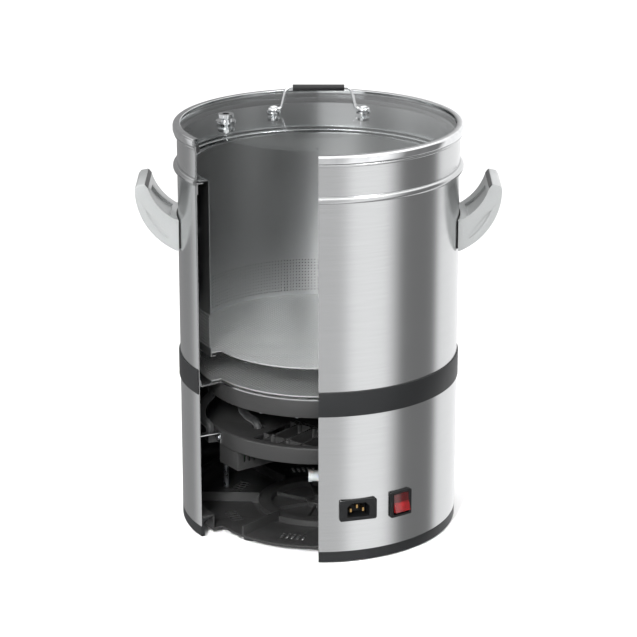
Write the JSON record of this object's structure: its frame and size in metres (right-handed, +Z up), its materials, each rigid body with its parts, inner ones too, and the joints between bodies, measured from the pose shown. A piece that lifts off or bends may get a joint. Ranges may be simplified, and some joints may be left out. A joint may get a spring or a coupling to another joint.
{
  "type": "electric brewing kettle",
  "caption": "Round steel electric brewing kettle, cut away at the front left to show its malt pipe, false bottom and base, with a glass lid, side handles, mains inlet and rocker switch.",
  "frame": {"origin": "on the floor, under the axis of the kettle", "axes": "+Z up along the kettle's axis, +X to the right handle, -Y to the front with the inlet and switch"},
  "size_m": [0.3998, 0.3189, 0.4975],
  "materials": {
    "pot_steel": "brushed",
    "malt_steel": "brushed",
    "filter_steel": "satin",
    "rim_steel": "polished",
    "black_band": "satin",
    "black_base_plastic": "moulded",
    "black_fitting_plastic": "moulded",
    "grey_handle_plastic": "satin",
    "black_rubber": "matte",
    "lid_glass": "clear",
    "chrome": "polished",
    "zinc_screws": "plated",
    "aluminium": "machined",
    "element_steel": "dull",
    "thermostat_plastic": "moulded",
    "board_green": "coated",
    "grey_nozzle": "moulded",
    "wire_cover": "extruded",
    "brass": "plated",
    "red_rocker": "lit, translucent"
  },
  "bodies": {
    "kettle": {"pot_wall": "pot_steel", "pot_floor": "pot_steel", "base_jacket": "pot_steel", "rest_ring": "pot_steel", "jacket_brackets": "pot_steel", "joint_band": "black_band", "base_ring": "black_band", "base_plate": "black_base_plastic", "heater_housing": "black_base_plastic", "rib_deck": "black_base_plastic", "control_box": "black_base_plastic", "control_box_lid": "black_base_plastic", "terminal_block": "black_base_plastic", "nozzle_bracket": "black_base_plastic", "inlet_housing": "black_fitting_plastic", "switch_bezel": "black_fitting_plastic", "handle_left": "grey_handle_plastic", "handle_right": "grey_handle_plastic", "rubber_feet": "black_rubber", "handle_gaskets": "black_rubber", "drain_hose": "black_rubber", "heater_loom": "black_rubber", "tie_rods": "zinc_screws", "tie_rod_nuts": "zinc_screws", "base_screws": "zinc_screws", "housing_screws": "zinc_screws", "deck_screws": "zinc_screws", "bracket_screws": "zinc_screws", "handle_screws": "zinc_screws", "switch_pin": "zinc_screws", "heat_spreader": "aluminium", "heating_element": "element_steel", "temperature_probe": "element_steel", "boil_dry_thermostat": "thermostat_plastic", "control_board": "board_green", "nozzle_stub": "grey_nozzle", "mains_wires": "wire_cover", "inlet_pins": "brass", "wire_terminals": "brass"},
    "false_bottom": {"false_bottom_plate": "filter_steel", "false_bottom_legs": "filter_steel"},
    "malt_pipe": {"malt_pipe_wall": "malt_steel", "malt_pipe_flange": "malt_steel", "malt_pipe_bottom": "malt_steel", "malt_pipe_hoop": "malt_steel"},
    "lid": {"lid_glass": "lid_glass", "lid_rim": "rim_steel", "lid_seal": "black_rubber", "lid_handle_wire": "rim_steel", "lid_handle_sleeve": "black_fitting_plastic", "lid_handle_bolts": "chrome", "lid_handle_washers": "chrome", "vent_eyelet": "chrome", "vent_nut": "chrome"},
    "rocker": {"switch_rocker": "red_rocker"}
  },
  "joints": [
    {"name": "false_bottom_lift", "type": "slide", "parent": "kettle", "child": "false_bottom", "axis": [0, 0, 1], "range_m": [0, 0.28]},
    {"name": "malt_pipe_lift", "type": "slide", "parent": "false_bottom", "child": "malt_pipe", "axis": [0, 0, 1], "range_m": [0, 0.25]},
    {"name": "lid_lift", "type": "slide", "parent": "malt_pipe", "child": "lid", "axis": [0, 0, 1], "range_m": [0, 0.15]},
    {"name": "switch_rocker", "type": "hinge", "parent": "kettle", "child": "rocker", "pos_m": [0.08718, -0.12451, 0.06], "axis": [0.8192, 0.5736, 0], "range_deg": [0, 24]}
  ]
}
